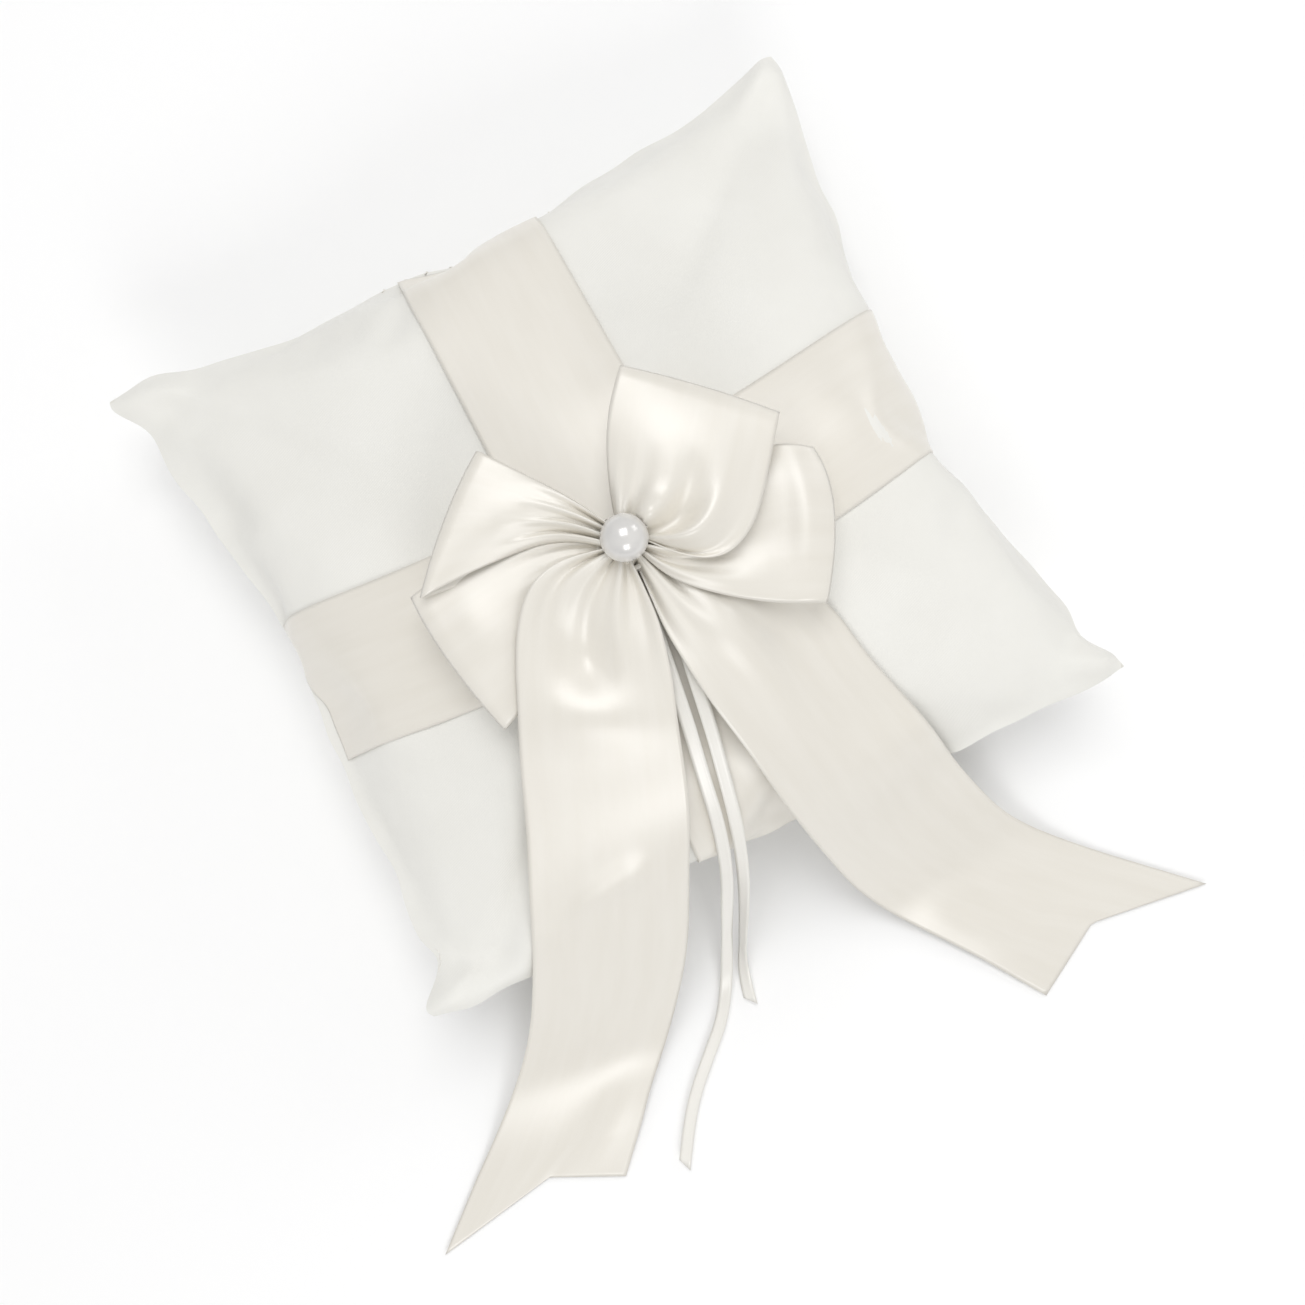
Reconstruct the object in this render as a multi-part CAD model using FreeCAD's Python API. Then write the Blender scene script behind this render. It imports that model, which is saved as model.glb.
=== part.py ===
import FreeCAD, Part
import itertools
import math
import os

# Ring bearer pillow, in millimetres.
# +X and +Y run along the pillow's sides, +Z is up. The ribbon tails fall over the -Y side.
# The origin is the middle of the flat patch that the pillow rests on.

Vector = FreeCAD.Vector
UP = Vector(0, 0, 1)

# Pillow
HALF_X = 82.5            # middle of a side to the centre line
HALF_X_CORNER = 98.0     # corner to the centre line
HALF_Y = 82.5
HALF_Y_CORNER = 93.0
SIDE_CURVE = 2.3         # how late the side runs out to its corner
SEAM_Z = 32.0
TOP_RISE = 37.0          # dome of the top cover above the seam
BACK_DROP = 37.0         # the back cover's dome before the table flattens it
FULL_CURVE = 2.2         # how flat the dome is in the middle
FULL_POWER = 0.46        # how steeply it rises from the seam
EDGE_ANGLE = math.radians(90)   # spreads stations closer together at the seam
DOME_STEPS = 20
COVER = 0.6              # cloth and its lining together
FILLING_GAP = 0.3
FILLING_INSET = 1.8      # the filling stops short of the seam

# Ribbon
RIBBON = 38.0
RIBBON_T = 0.4
BAND_LIFT = 0.4
BAND_STEP = 0.7          # the second band crosses above the first by this
BAND_Y_X = 1.0           # centre of the band that runs along Y
CROSSING_Y = -9.0        # the bands cross a little towards the tails
LAY = 2.8                # height of a tail above the cover that it lies on

# Bow centre
KNOT = Vector(0, CROSSING_Y, 0)
GATHER_LOW = 71.2
GATHER_HIGH = 78.6
GATHER_R = 7.6
WAIST_R = 5.4
WAIST_Z = 75.0
BINDING_R = 0.6
BINDING_TURNS = 3
ROOT_R = 8.6             # the loops leave the gather here
ROOT_HALF = 2.4
TACK_R = 0.4
TACK_SPREAD = 3.0
HOLE_GAP = 0.05

# Pearl
PEARL_R = 5.5
PEARL_Z = 84.5
THREAD_R = 0.35
THREAD_BORE_GAP = 0.05
LEG = 6.1                # pearl thread's legs, from the pearl's centre

# Seam and closing threads
SEAM_THREAD_R = 0.2
SEAM_THREAD_INSET = 1.25
CLOSING_COUNT = 9
CLOSING_PITCH = 5.0
CLOSING_R = 0.25
CLOSING_HALF = 1.5

# Ring ties: narrow flat ribbon, made here as tube as thick as the ribbon is wide
TIE_R = 1.6
TIE_LONG = [
    (-1, -20, 71.4), (-2.5, -29, 71.8), (-4.2, -40, 71.7), (-6, -52, 69.6), (-8.2, -64, 64.6),
    (-10, -76, 56.5), (-13, -87, 42.0), (-17, -96, 25.5), (-21, -105, 10.5), (-25.5, -114, 2.1),
    (-31, -122, 1.7), (-39, -129, 1.7), (-46.5, -136, 1.7), (-52, -143, 1.7), (-57, -150.5, 1.7),
]
TIE_SHORT = [
    (4, -19, 71.5), (2.6, -30, 71.8), (0.4, -42, 71.4), (-1.5, -54, 68.9), (-3.8, -66, 63.4),
    (-6, -77, 55.5), (-9, -88, 40.0), (-12.5, -97, 23.5), (-17, -106, 9.0), (-20.5, -114, 2.4),
    (-22, -121, 1.7),
]

# Bow loops: ends of the outer crease, heights at the root and the crease, and the swell
# of the upper layer.
LOOPS = {
    "bow_loop_top": dict(crease=((17, 26), (44, 0)), root=(77.4, 79.3), crease_z=84.0, swell=3.0),
    "bow_loop_right": dict(crease=((48, -9), (35, -42)), root=(74.6, 76.4), crease_z=75.5, swell=2.0),
    "bow_loop_upper_left": dict(crease=((-46, 1), (-20, 25)), root=(75.6, 77.6), crease_z=78.5, swell=2.0),
    "bow_loop_lower_left": dict(crease=((-44, -33), (-49, 3)), root=(71.9, 73.4), crease_z=68.5, swell=1.0),
}
FOLD_HALF = 1.1          # half the height of the fold at a loop's crease

# Tails: left and right edge at each station, seen from above. A height of None lies on
# the pillow; the others are heights above the table.
TAIL_LEFT = [
    ((-6.8, -14.2, 77.0), (-2.6, -17.6, 77.0)),
    ((-17, -14, 76.6), (-3, -25, 76.0)),
    ((-30, -20, 75.2), (-4.5, -35, 75.2)),
    ((-40, -31, 71.5), (-6, -47, 75.6)),
    ((-46, -44, 65.0), (-10, -59, None)),
    ((-51, -56, None), (-15, -70, None)),
    ((-56, -67, 53.0), (-20, -80, 48.0)),
    ((-62, -78, 46.5), (-25, -89, 39.0)),
    ((-69, -90, 34.0), (-31, -99, 27.5)),
    ((-77, -102, 17.0), (-39, -109, 14.5)),
    ((-87, -112, 7.0), (-48, -119, 5.5)),
    ((-100, -122, 1.6), (-56, -130, 1.6)),
    ((-112, -132, 1.0), (-64, -138, 1.0)),
    ((-123, -142, 1.0), (-72, -146, 1.0)),
]
NOTCH_LEFT = (-90, -137)
TAIL_RIGHT = [
    ((2.6, -17.6, 74.2), (6.8, -14.2, 73.6)),
    ((1, -27, 74.3), (19, -17, 73.3)),
    ((0, -38, 74.6), (31, -29, 71.0)),
    ((1.0, -49, 73.6), (37, -42, None)),
    ((3, -61, 68.5), (40, -55, None)),
    ((5, -73, 60.0), (43, -67, None)),
    ((8, -85, 46.5), (47, -80, 48.5)),
    ((12, -97, 28.5), (51, -91, 32.0)),
    ((16, -108, 14.5), (56, -101, 19.5)),
    ((22, -119, 5.0), (62, -110, 8.0)),
    ((30, -130, 1.5), (70, -120, 2.0)),
    ((39, -143, 1.0), (84, -134, 1.0)),
    ((48, -156, 1.0), (100, -150, 1.0)),
]
NOTCH_RIGHT = (68, -145)
HINGE_STATION = 5        # the free part of a tail starts here
HINGE_GAP = 0.8
ACROSS = (-1.0, -0.5, 0.0, 0.5, 1.0)
CLOTH_DEGREE = 3


def out_to_side(u, v, grow=0.0):
    """Point of the seam plane for (u, v), each -1 to 1, with the sides pulled in between corners."""
    x = u * (HALF_X + grow + (HALF_X_CORNER - HALF_X) * abs(v) ** SIDE_CURVE)
    y = v * (HALF_Y + grow + (HALF_Y_CORNER - HALF_Y) * abs(u) ** SIDE_CURVE)
    return x, y


def swell_of(t):
    """How full the pillow is across one direction, 1 in the middle and 0 at the seam."""
    return (1 - min(1.0, abs(t)) ** FULL_CURVE) ** FULL_POWER


def dome_z(x, y):
    """Height of the top cover above (x, y), or 0 outside the seam."""
    u, v = x / HALF_X, y / HALF_Y
    for _ in range(12):
        u = x / (HALF_X + (HALF_X_CORNER - HALF_X) * min(1.0, abs(v)) ** SIDE_CURVE)
        v = y / (HALF_Y + (HALF_Y_CORNER - HALF_Y) * min(1.0, abs(u)) ** SIDE_CURVE)
    if abs(u) > 1 or abs(v) > 1:
        return 0.0
    return SEAM_Z + TOP_RISE * swell_of(u) * swell_of(v)


def skin(rows):
    """Surface through a grid of points."""
    surface = Part.BSplineSurface()
    surface.interpolate(rows)
    return surface


def cloth_skin(rows):
    """Surface drawn towards a grid of points, which never swings outside them."""
    knots, mults = [], []
    for count in (len(rows), len(rows[0])):
        inner = count - CLOTH_DEGREE - 1
        knots.append(list(range(inner + 2)))
        mults.append([CLOTH_DEGREE + 1] + [1] * inner + [CLOTH_DEGREE + 1])
    surface = Part.BSplineSurface()
    surface.buildFromPolesMultsKnots(rows, *mults, *knots, False, False, CLOTH_DEGREE, CLOTH_DEGREE)
    return surface


def closed(faces):
    shell = Part.makeShell(faces)
    shell.sewShape()
    return Part.makeSolid(shell)


def slab(low, high):
    """Solid between two surfaces, closed by ruled faces along their four edges."""
    u0, u1, v0, v1 = low.bounds()
    faces = [low.toShape(), high.toShape()]
    for iso, at in (("uIso", u0), ("uIso", u1), ("vIso", v0), ("vIso", v1)):
        below = getattr(low, iso)(at).toShape()
        above = getattr(high, iso)(at).toShape()
        faces.append(Part.makeRuledSurface(below, above))
    return closed(faces)


def thicken(rows, thickness, make=cloth_skin):
    """Slab of even thickness about a grid of points."""
    last_i, last_j = len(rows) - 1, len(rows[0]) - 1
    lower, upper = [], []
    for i, row in enumerate(rows):
        below, above = [], []
        for j, point in enumerate(row):
            along = rows[min(i + 1, last_i)][j] - rows[max(i - 1, 0)][j]
            across = row[min(j + 1, last_j)] - row[max(j - 1, 0)]
            normal = along.cross(across).normalize()
            below.append(point - normal * (thickness / 2))
            above.append(point + normal * (thickness / 2))
        lower.append(below)
        upper.append(above)
    return slab(make(lower), make(upper))


def dome(rise, inset):
    """Domed surface that starts from the seam line, drawn in by inset."""
    angles = [EDGE_ANGLE * (2 * i / DOME_STEPS - 1) for i in range(DOME_STEPS + 1)]
    shares = [math.sin(a) / math.sin(EDGE_ANGLE) for a in angles]
    rows = []
    for u in shares:
        row = []
        for v in shares:
            x, y = out_to_side(u, v, -inset)
            row.append(Vector(x, y, SEAM_Z + rise * swell_of(u) * swell_of(v)))
        rows.append(row)
    return skin(rows)


def flattened(solid, height):
    """The solid with what lies below a height cut off."""
    size = 4 * HALF_X
    return solid.cut(Part.makeBox(size, size, size, Vector(-size / 2, -size / 2, height - size)))


def half_pillow(rise, inset):
    """Solid between the seam plane and one domed side."""
    surface = dome(rise, inset)
    u0, u1, v0, v1 = surface.bounds()
    edges = [surface.uIso(u0).toShape(), surface.vIso(v1).toShape(),
             surface.uIso(u1).toShape(), surface.vIso(v0).toShape()]
    rim = Part.Wire(Part.__sortEdges__(edges))
    return closed([surface.toShape(), Part.Face(rim)])


def rod(start, end, radius):
    return Part.makeCylinder(radius, (end - start).Length, start, end - start)


def tack_holes(shape, radius):
    for side in (-1, 1):
        at = KNOT + Vector(side * TACK_SPREAD, 0, 0)
        shape = shape.cut(rod(at + UP * 50, at + UP * 90, radius))
    return shape


def cover_top():
    shell = half_pillow(TOP_RISE, 0).cut(half_pillow(TOP_RISE - COVER, COVER))
    return tack_holes(shell, TACK_R + HOLE_GAP)


def cover_back():
    outside = flattened(half_pillow(-BACK_DROP, 0), 0)
    return outside.cut(flattened(half_pillow(COVER - BACK_DROP, COVER), COVER))


def fibre_filling():
    rise = TOP_RISE - COVER - FILLING_GAP
    drop = BACK_DROP - COVER - FILLING_GAP
    whole = closed([dome(rise, FILLING_INSET).toShape(), dome(-drop, FILLING_INSET).toShape()])
    return tack_holes(flattened(whole, COVER + FILLING_GAP), TACK_R + HOLE_GAP)


def seam_thread():
    """Gently curved runs of thread just inside the seam, three a side."""
    runs = []
    spans = [(-0.93, -0.36), (-0.34, 0.34), (0.36, 0.93)]
    sides = [("x", 1), ("x", -1), ("y", 1), ("y", -1)]
    for (axis, side), (start_t, end_t) in itertools.product(sides, spans):
        points = []
        for t in (start_t, (start_t + end_t) / 2, end_t):
            u, v = (side, t) if axis == "x" else (t, side)
            x, y = out_to_side(u, v, -SEAM_THREAD_INSET)
            points.append(Vector(x, y, SEAM_Z))
        path = Part.Arc(*points)
        start = path.value(path.FirstParameter)
        heading = path.tangent(path.FirstParameter)[0]
        ring = Part.Wire([Part.makeCircle(SEAM_THREAD_R, start, heading)])
        runs.append(Part.Wire([path.toShape()]).makePipeShell([ring], True, True))
    return Part.makeCompound(runs)


def closing_stitches():
    """Ladder stitches across the turning gap, at the middle of the +Y seam."""
    stitches = []
    for i in range(CLOSING_COUNT):
        x = (i - (CLOSING_COUNT - 1) / 2) * CLOSING_PITCH
        at = Vector(x, out_to_side(x / HALF_X, 1)[1] + CLOSING_R + 0.1, SEAM_Z)
        stitches.append(rod(at - UP * CLOSING_HALF, at + UP * CLOSING_HALF, CLOSING_R))
    return Part.makeCompound(stitches)


def band(along_x, lift):
    """Ribbon sewn into the seam at both ends, lying over the dome."""
    rows = []
    reach = 0.985
    steps = 18
    for i in range(steps + 1):
        t = math.sin(EDGE_ANGLE * (2 * i / steps - 1)) / math.sin(EDGE_ANGLE) * reach
        row = []
        for w in ACROSS:
            aside = w * RIBBON / 2
            if along_x:
                x = t * HALF_X
                y = CROSSING_Y * (1 - t * t) + aside
            else:
                x = BAND_Y_X + aside
                y = t * HALF_Y
            row.append(Vector(x, y, dome_z(x, y) + lift + RIBBON_T / 2))
        rows.append(row)
    return tack_holes(thicken(rows, RIBBON_T, skin), TACK_R + HOLE_GAP)


def loop_section(near, far, root, crease_z, swell):
    """Outline of the ribbon's thickness in the upright plane from near to far."""
    low, high = root
    reach = (far - near).Length
    onward = (far - near) / reach
    fold_low, fold_high = crease_z - FOLD_HALF, crease_z + FOLD_HALF
    path = [(0, low), (reach - 2 * FOLD_HALF, fold_low), (reach - 0.4 * FOLD_HALF, fold_low + 0.4 * FOLD_HALF),
            (reach, crease_z), (reach - 0.4 * FOLD_HALF, fold_high - 0.4 * FOLD_HALF),
            (reach - 2 * FOLD_HALF, fold_high)]
    for share in (0.8, 0.65, 0.5, 0.35, 0.2, 0.0):
        rise = swell * math.sin(math.pi * share)
        path.append((reach * share, high + (fold_high - high) * share + rise))
    places = [Vector(along, z, 0) for along, z in path]
    sides = []
    for half in (-RIBBON_T / 2, RIBBON_T / 2):
        side = []
        for i, place in enumerate(places):
            along = places[min(i + 1, len(places) - 1)] - places[max(i - 1, 0)]
            off = Vector(-along.y, along.x, 0).normalize() * half
            side.append(near + onward * (place + off).x + UP * (place + off).y)
        sides.append(side)
    return Part.makePolygon(sides[0] + sides[1][::-1] + sides[0][:1])


def loop(crease, root, crease_z, swell):
    """Ribbon that runs out from the gather, folds at its crease and comes back above itself."""
    first, second = Vector(*crease[0], 0), Vector(*crease[1], 0)
    middle = (first + second) / 2 - KNOT
    outward = middle / middle.Length
    aside = UP.cross(outward)
    if (second - first).dot(aside) < 0:
        first, second = second, first
    sections = []
    for w in (-1.0, 0.0, 1.0):
        near = KNOT + outward * ROOT_R + aside * (w * ROOT_HALF)
        far = first + (second - first) * ((w + 1) / 2)
        sections.append(loop_section(near, far, root, crease_z, swell))
    return Part.makeLoft(sections, True, True)


def tail_rows(stations):
    rows = []
    for left, right in stations:
        row = []
        for w in ACROSS:
            share = (w + 1) / 2
            x = left[0] + (right[0] - left[0]) * share
            y = left[1] + (right[1] - left[1]) * share
            heights = [dome_z(*p[:2]) + LAY if p[2] is None else p[2] for p in (left, right)]
            z = heights[0] + (heights[1] - heights[0]) * share
            cover = dome_z(x, y)
            row.append(Vector(x, y, max(z, cover + LAY) if cover else z))
        rows.append(row)
    return rows


def notch(tips, apex):
    """Wedge that leaves the swallowtail end."""
    low = -5.0
    beyond = (Vector(*tips[0][:2], 0) + Vector(*tips[1][:2], 0)) / 2 - Vector(*apex, 0)
    corners = [Vector(*tips[0][:2], low), Vector(*apex, low), Vector(*tips[1][:2], low)]
    corners += [corners[2] + beyond * 2, corners[0] + beyond * 2, corners[0]]
    return Part.Face(Part.makePolygon(corners)).extrude(UP * 20)


def tail(stations, apex):
    """The part of a tail on the pillow, and the part that lifts, hinged where the two meet."""
    rows = tail_rows(stations)
    fixed = thicken(rows[:HINGE_STATION + 1], RIBBON_T)
    free = rows[HINGE_STATION:]
    onward = [(b - a).normalize() for a, b in zip(free[0], free[1])]
    free = [[p + d * HINGE_GAP for p, d in zip(free[0], onward)]] + free[1:]
    loose = thicken(free, RIBBON_T).cut(notch(stations[-1], apex))
    left, right = free[0][0], free[0][-1]
    top = max(p.z for p in free[0]) + RIBBON_T
    print("hinge", [round(c, 2) for c in ((left.x + right.x) / 2, (left.y + right.y) / 2, top)],
          "axis", [round(c, 4) for c in ((right - left).x, (right - left).y)])
    return fixed, loose


def bow_gather():
    """Pinched middle of the bow, with a waist that the binding thread pulls in."""
    outline = [Vector(0, 0, GATHER_LOW), Vector(GATHER_R, 0, GATHER_LOW), Vector(GATHER_R, 0, WAIST_Z - 2.6),
               Vector(WAIST_R, 0, WAIST_Z - 2.0), Vector(WAIST_R, 0, WAIST_Z + 2.0),
               Vector(GATHER_R, 0, WAIST_Z + 2.6), Vector(GATHER_R, 0, GATHER_HIGH),
               Vector(0, 0, GATHER_HIGH), Vector(0, 0, GATHER_LOW)]
    drum = Part.Face(Part.makePolygon(outline)).revolve(Vector(0, 0, 0), UP, 360)
    drum.translate(KNOT)
    return tack_holes(drum, TACK_R + HOLE_GAP)


def bow_binding():
    turns = []
    pitch = 2 * BINDING_R + 0.1
    for i in range(BINDING_TURNS):
        z = WAIST_Z + (i - (BINDING_TURNS - 1) / 2) * pitch
        turns.append(Part.makeTorus(WAIST_R + BINDING_R + HOLE_GAP, BINDING_R, KNOT + UP * z, UP))
    return Part.makeCompound(turns)


def bow_tack_stitches():
    """Two stitches that hold the gather to the bands, the cover and the filling."""
    stitches = []
    for side in (-1, 1):
        at = KNOT + Vector(side * TACK_SPREAD, 0, 0)
        stitches.append(rod(at + UP * 64, at + UP * 74, TACK_R))
    return Part.makeCompound(stitches)


def pearl_bead():
    centre = KNOT + UP * PEARL_Z
    reach = Vector(PEARL_R + 1, 0, 0)
    return Part.makeSphere(PEARL_R, centre).cut(rod(centre - reach, centre + reach, THREAD_R + THREAD_BORE_GAP))


def pearl_thread():
    """Thread through the pearl's bore, and down to the gather on each side of it."""
    centre = KNOT + UP * PEARL_Z
    thread = rod(centre - Vector(LEG, 0, 0), centre + Vector(LEG, 0, 0), THREAD_R)
    for side in (-1, 1):
        corner = centre + Vector(side * LEG, 0, 0)
        foot = Vector(corner.x, corner.y, GATHER_HIGH)
        thread = thread.fuse([Part.makeSphere(THREAD_R, corner), rod(foot, corner, THREAD_R)])
    return thread.removeSplitter()


def cord(name, route, radius):
    """Tube of straight runs joined by arcs as large as the runs allow."""
    points = [Vector(*p) for p in route]
    edges, radii = [], []
    at = points[0]
    for before, corner, after in zip(points, points[1:], points[2:]):
        run_in, run_out = corner - before, after - corner
        turn = run_in.getAngle(run_out)
        trim = 0.45 * min(run_in.Length, run_out.Length)
        radii.append(trim / math.tan(turn / 2))
        start = corner - run_in * (trim / run_in.Length)
        end = corner + run_out * (trim / run_out.Length)
        inside = (start - corner).normalize() + (end - corner).normalize()
        reach = radii[-1] / math.cos(turn / 2) - radii[-1]
        edges.append(Part.LineSegment(at, start).toShape())
        edges.append(Part.Arc(start, corner + inside.normalize() * reach, end).toShape())
        at = end
    edges.append(Part.LineSegment(at, points[-1]).toShape())
    path = Part.Wire(edges)
    ring = Part.Wire([Part.makeCircle(radius, points[0], points[1] - points[0])])
    tube = path.makePipeShell([ring], True, True)
    ideal = math.pi * radius ** 2 * path.Length
    print(name, "radii", [round(r, 1) for r in radii])
    print(name, "length", round(path.Length, 1), "volume over ideal", round(tube.Volume / ideal, 4))
    return tube


def build():
    left_root, left = tail(TAIL_LEFT, NOTCH_LEFT)
    right_root, right = tail(TAIL_RIGHT, NOTCH_RIGHT)
    nodes = {
        "cover_top": cover_top(),
        "cover_back": cover_back(),
        "fibre_filling": fibre_filling(),
        "seam_thread": seam_thread(),
        "closing_stitches": closing_stitches(),
        "band_long": band(True, BAND_LIFT),
        "band_cross": band(False, BAND_LIFT + BAND_STEP),
        "tail_left_root": left_root,
        "tail_left": left,
        "tail_right_root": right_root,
        "tail_right": right,
        "bow_gather": bow_gather(),
        "bow_binding": bow_binding(),
        "bow_tack_stitches": bow_tack_stitches(),
        "pearl_bead": pearl_bead(),
        "pearl_thread": pearl_thread(),
        "ring_tie_long": cord("ring_tie_long", TIE_LONG, TIE_R),
        "ring_tie_short": cord("ring_tie_short", TIE_SHORT, TIE_R),
    }
    for name, sizes in LOOPS.items():
        nodes[name] = loop(**sizes)
    return nodes


os.makedirs("parts", exist_ok=True)
for node, shape in build().items():
    box = Part.makePolygon(shape.tessellate(0.1)[0]).BoundBox
    print(node, "valid", shape.isValid(), "solids", len(shape.Solids), "volume", round(shape.Volume, 1),
          "x", round(box.XMin, 1), round(box.XMax, 1), "y", round(box.YMin, 1), round(box.YMax, 1),
          "z", round(box.ZMin, 2), round(box.ZMax, 2))
    shape.exportStep("parts/" + node + ".step")
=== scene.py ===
import math

import bpy
import numpy as np
from mathutils import Matrix, Vector
from mathutils.bvhtree import BVHTree


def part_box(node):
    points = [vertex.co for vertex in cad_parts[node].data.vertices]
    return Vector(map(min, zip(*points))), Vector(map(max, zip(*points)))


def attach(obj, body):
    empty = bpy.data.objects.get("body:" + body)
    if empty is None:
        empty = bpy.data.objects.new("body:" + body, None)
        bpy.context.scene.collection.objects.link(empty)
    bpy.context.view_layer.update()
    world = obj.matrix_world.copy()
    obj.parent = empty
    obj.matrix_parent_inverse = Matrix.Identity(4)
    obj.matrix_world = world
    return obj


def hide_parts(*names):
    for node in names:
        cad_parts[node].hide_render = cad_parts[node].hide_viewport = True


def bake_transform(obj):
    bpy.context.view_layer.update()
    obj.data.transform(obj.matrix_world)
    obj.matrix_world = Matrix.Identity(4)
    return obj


# Ring bearer pillow: a satin cushion blown up from two flat squares, crossed by two ribbon bands,
# with a four-looped bow, a pearl, two long swallowtail tails and two thin ring ties.
# Lengths are in metres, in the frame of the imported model.

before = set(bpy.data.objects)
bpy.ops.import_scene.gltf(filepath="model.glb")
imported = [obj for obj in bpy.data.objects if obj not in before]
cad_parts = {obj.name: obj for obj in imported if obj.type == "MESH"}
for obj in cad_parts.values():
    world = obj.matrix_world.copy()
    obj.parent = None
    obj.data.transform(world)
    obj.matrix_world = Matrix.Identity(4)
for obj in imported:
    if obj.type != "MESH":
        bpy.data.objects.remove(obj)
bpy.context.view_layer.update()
scene = bpy.context.scene

MM = 0.001
RIBBON = 0.038           # width of the wide ribbon
RIBBON_T = 0.0003        # its thickness
TIE_WIDTH = 0.0032       # width of the two ring ties
TABLE_GAP = 0.0006       # least height of a ribbon's middle over the table
KNOT = Vector((0.0, -0.009, 0.0))
pearl_low, pearl_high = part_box("pearl_bead")
PEARL = (pearl_low + pearl_high) / 2
cover_low, cover_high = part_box("cover_top")
PEARL_R = (pearl_high.z - pearl_low.z) / 2
SEAM_Z = cover_low.z
UP = np.array([0.0, 0.0, 1.0])


# ---------------------------------------------------------------- small tools

def spline_through(points, count):
    """Points evenly spread along a natural cubic spline through a few points of any width."""
    p = np.array(points, float)
    gaps = np.linalg.norm(np.diff(p[:, :3], axis=0), axis=1)
    knots = np.concatenate([[0.0], np.cumsum(gaps)])
    n = len(p)
    a = np.eye(n)
    b = np.zeros_like(p)
    for i in range(1, n - 1):
        before, after = gaps[i - 1], gaps[i]
        a[i, i - 1:i + 2] = before, 2 * (before + after), after
        b[i] = 6 * ((p[i + 1] - p[i]) / after - (p[i] - p[i - 1]) / before)
    bend = np.linalg.solve(a, b)
    out = []
    for s in np.linspace(0, knots[-1], count):
        i = min(int(np.searchsorted(knots, s, side="right")) - 1, n - 2)
        h, left, right = gaps[i], knots[i + 1] - s, s - knots[i]
        out.append(bend[i] * left ** 3 / (6 * h) + bend[i + 1] * right ** 3 / (6 * h)
                   + (p[i] / h - bend[i] * h / 6) * left + (p[i + 1] / h - bend[i + 1] * h / 6) * right)
    return np.array(out)


def ease(low, high, x):
    """0 below low, 1 above high, smooth between."""
    t = np.clip((x - low) / (high - low), 0, 1)
    return t * t * (3 - 2 * t)


def unit(v):
    return v / np.maximum(np.linalg.norm(v, axis=-1, keepdims=True), 1e-12)


def normals_of(grid):
    return unit(np.cross(np.gradient(grid, axis=0), np.gradient(grid, axis=1)))


def distances(line):
    """Distance of each point of a line from its start, along it."""
    return np.concatenate([[0], np.cumsum(np.linalg.norm(np.diff(line, axis=0), axis=1))])


def mesh_object(name, verts, faces, material):
    mesh = bpy.data.meshes.new(name)
    mesh.from_pydata([tuple(v) for v in verts], [], faces)
    mesh.materials.append(material)
    mesh.polygons.foreach_set("use_smooth", [True] * len(mesh.polygons))
    obj = bpy.data.objects.new(name, mesh)
    scene.collection.objects.link(obj)
    return obj


def strip(name, grid, material, thickness=RIBBON_T, widths=None, smooth=1):
    """Ribbon from a grid of points, rows along it and columns across it, with the distances along
    and across the flat ribbon kept as its UV map, in metres."""
    rows, columns = grid.shape[:2]
    faces = [(i * columns + j, i * columns + j + 1, (i + 1) * columns + j + 1, (i + 1) * columns + j)
             for i in range(rows - 1) for j in range(columns - 1)]
    obj = mesh_object(name, grid.reshape(-1, 3), faces, material)
    along = distances(grid[:, columns // 2])
    across = np.linspace(-0.5, 0.5, columns) * RIBBON if widths is None else np.asarray(widths)
    layer = obj.data.uv_layers.new(name="Cloth")
    for loop in obj.data.loops:
        i, j = divmod(loop.vertex_index, columns)
        layer.data[loop.index].uv = (across[j], along[i])
    if smooth:
        level = obj.modifiers.new("smooth", "SUBSURF")
        level.levels = level.render_levels = smooth
        level.boundary_smooth = "PRESERVE_CORNERS"
    if thickness:
        thick = obj.modifiers.new("thickness", "SOLIDIFY")
        thick.thickness = thickness
        thick.offset = 0
    return obj


def settle(obj):
    """Applies a piece's modifiers, so that its mesh is final."""
    graph = bpy.context.evaluated_depsgraph_get()
    mesh = bpy.data.meshes.new_from_object(obj.evaluated_get(graph), depsgraph=graph)
    obj.modifiers.clear()
    obj.data = mesh
    return obj


# ---------------------------------------------------------------- materials

def principled(name, colour, rough, **sockets):
    material = bpy.data.materials.new(name)
    material.use_nodes = True
    shader = material.node_tree.nodes["Principled BSDF"]
    shader.inputs["Base Color"].default_value = (*colour, 1)
    shader.inputs["Roughness"].default_value = rough
    for key, value in sockets.items():
        shader.inputs[key.replace("_", " ")].default_value = value
    return material, material.node_tree, shader


def node(tree, kind, **settings):
    made = tree.nodes.new(kind)
    for key, value in settings.items():
        if key in made.inputs:
            made.inputs[key].default_value = value
        else:
            setattr(made, key, value)
    return made


def tint(tree, shader, source, dark, light, low=0.35, high=0.65):
    ramp = node(tree, "ShaderNodeValToRGB")
    ramp.color_ramp.elements[0].position = low
    ramp.color_ramp.elements[1].position = high
    ramp.color_ramp.elements[0].color = (*dark, 1)
    ramp.color_ramp.elements[1].color = (*light, 1)
    tree.links.new(source, ramp.inputs["Fac"])
    tree.links.new(ramp.outputs["Color"], shader.inputs["Base Color"])


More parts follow.
